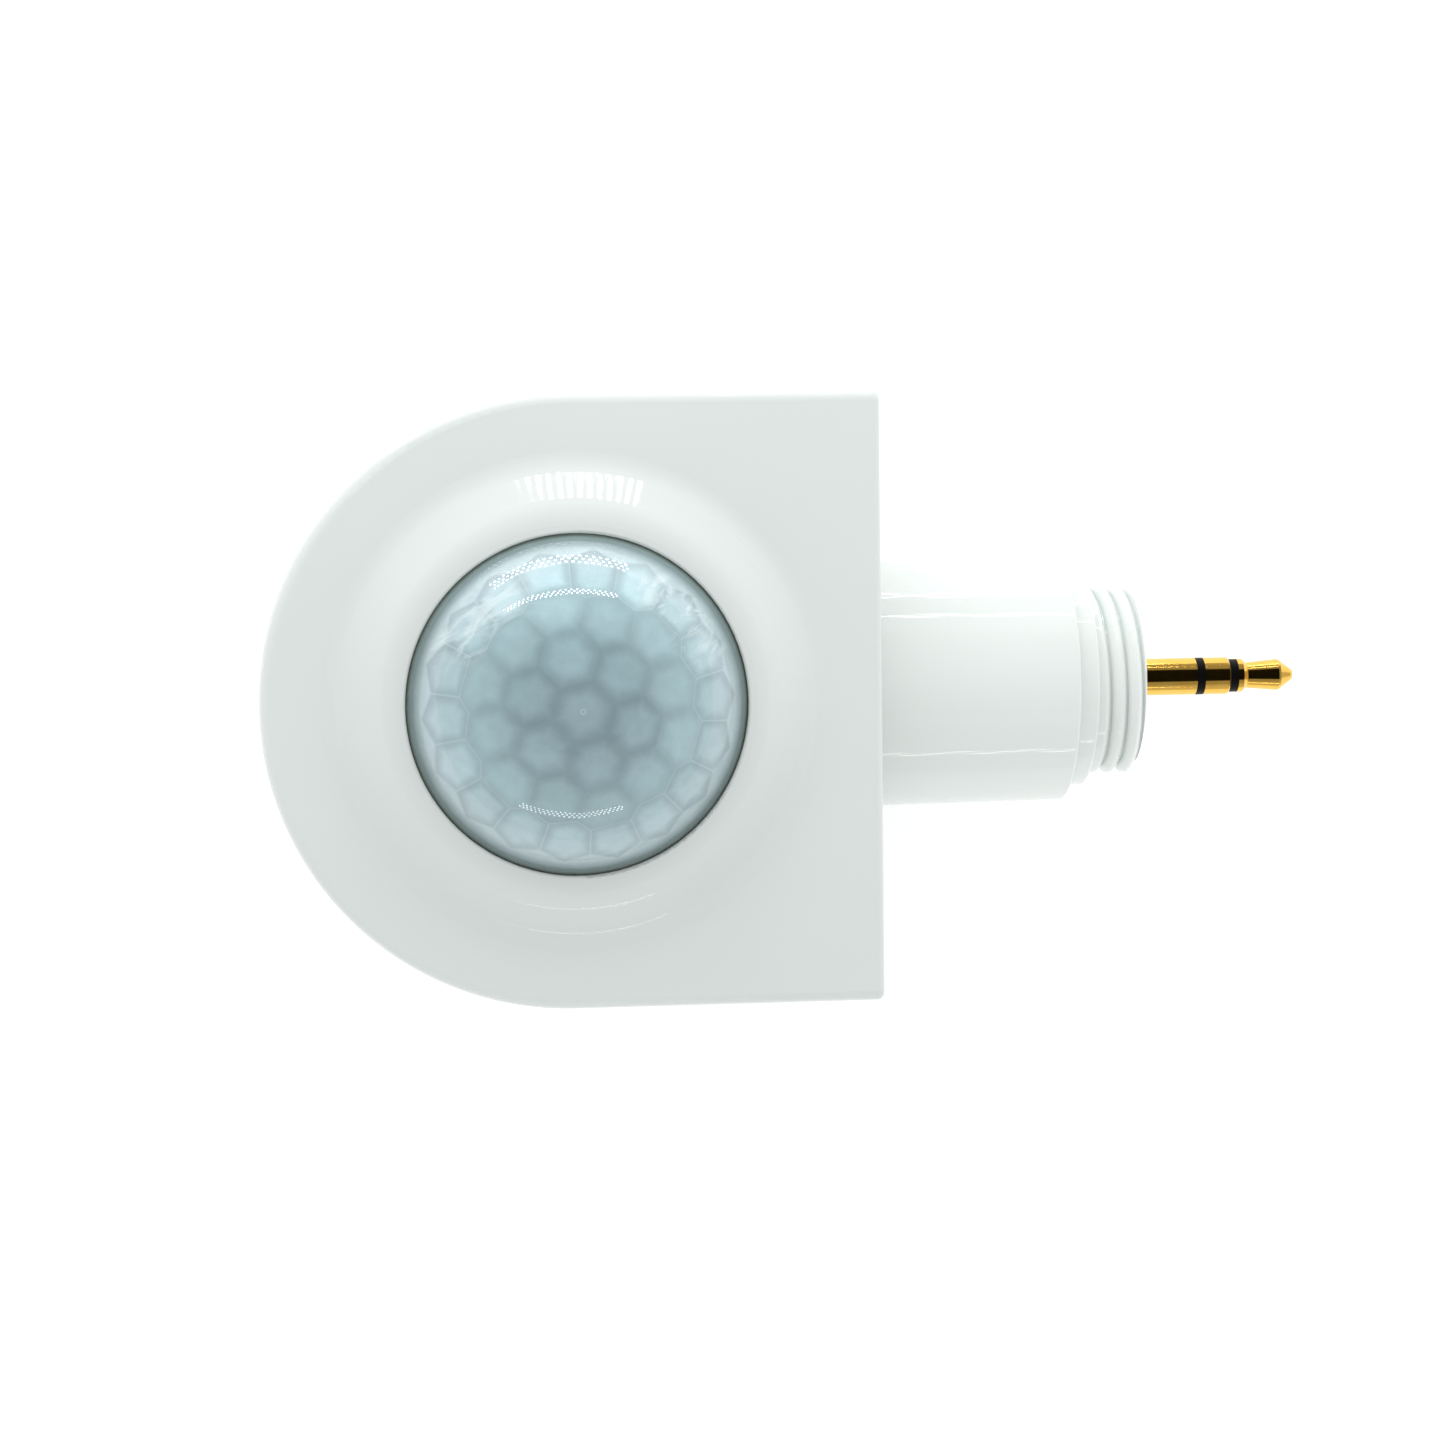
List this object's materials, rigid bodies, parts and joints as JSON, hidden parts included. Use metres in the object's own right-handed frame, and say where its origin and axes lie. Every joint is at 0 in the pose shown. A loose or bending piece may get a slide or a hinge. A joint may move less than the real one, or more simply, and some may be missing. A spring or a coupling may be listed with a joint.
{
  "type": "motion sensor",
  "caption": "Plug-in motion sensor head for a luminaire: D-shaped white housing with a domed lens, threaded stem and jack plug.",
  "frame": {"origin": "on the stem axis, at the front face of the locating step, where the thread starts", "axes": "+X along the stem axis towards the plug's tip, +Z along the lens axis away from the back cover"},
  "size_m": [0.0966, 0.0548, 0.0437],
  "materials": {
    "shell_abs": "moulded gloss",
    "stem_abs": "moulded gloss",
    "lens_polyethylene": "moulded satin, translucent",
    "seal_silicone": "satin",
    "screw_steel": "zinc plated",
    "board_laminate": "solder mask",
    "can_nickel": "nickel plated",
    "window_silicon": "polished dark",
    "lead_tin": "tinned",
    "holder_nylon": "moulded",
    "sensor_clear": "clear moulded",
    "led_diffused": "diffused epoxy",
    "receiver_epoxy": "dark tinted epoxy",
    "chip_epoxy": "moulded matt",
    "capacitor_can": "drawn",
    "chip_ceramic": "fired",
    "connector_nylon": "moulded",
    "wire_red": "extruded",
    "wire_white": "extruded",
    "wire_black": "extruded",
    "o_ring_rubber": "satin",
    "washer_steel": "stamped",
    "insert_abs": "moulded gloss",
    "plug_gold": "gold plated",
    "plug_insulator": "moulded black",
    "shrink_sleeving": "shrunk"
  },
  "bodies": {
    "head": {"front_housing": "shell_abs", "rear_cover": "shell_abs", "cover_gasket": "seal_silicone", "cover_screws": "screw_steel", "fresnel_lens": "lens_polyethylene", "lens_seal": "seal_silicone", "lens_retainer": "holder_nylon", "main_board": "board_laminate", "board_screws": "screw_steel", "pir_holder": "holder_nylon", "pir_can": "can_nickel", "pir_window": "window_silicon", "pir_leads": "lead_tin", "light_sensor": "sensor_clear", "status_led": "led_diffused", "ir_receiver": "receiver_epoxy", "microcontroller": "chip_epoxy", "amplifier_chip": "chip_epoxy", "voltage_regulator": "chip_epoxy", "electrolytic_capacitors": "capacitor_can", "chip_components": "chip_ceramic", "wire_header": "connector_nylon", "wire_plug": "connector_nylon", "wire_tip": "wire_red", "wire_ring": "wire_white", "wire_sleeve": "wire_black"},
    "stem": {"threaded_stem": "stem_abs", "stem_o_ring": "o_ring_rubber", "stop_washer": "washer_steel", "retaining_clip": "washer_steel", "plug_insert": "insert_abs", "plug_sleeve": "plug_gold", "plug_insulator_rear": "plug_insulator", "plug_ring": "plug_gold", "plug_insulator_front": "plug_insulator", "plug_tip": "plug_gold", "tail_sleeve": "shrink_sleeving"}
  },
  "joints": [
    {"name": "stem_swivel", "type": "hinge", "parent": "head", "child": "stem", "pos_m": [0, 0, 0], "axis": [1, 0, 0], "range_deg": [-160, 160]}
  ]
}
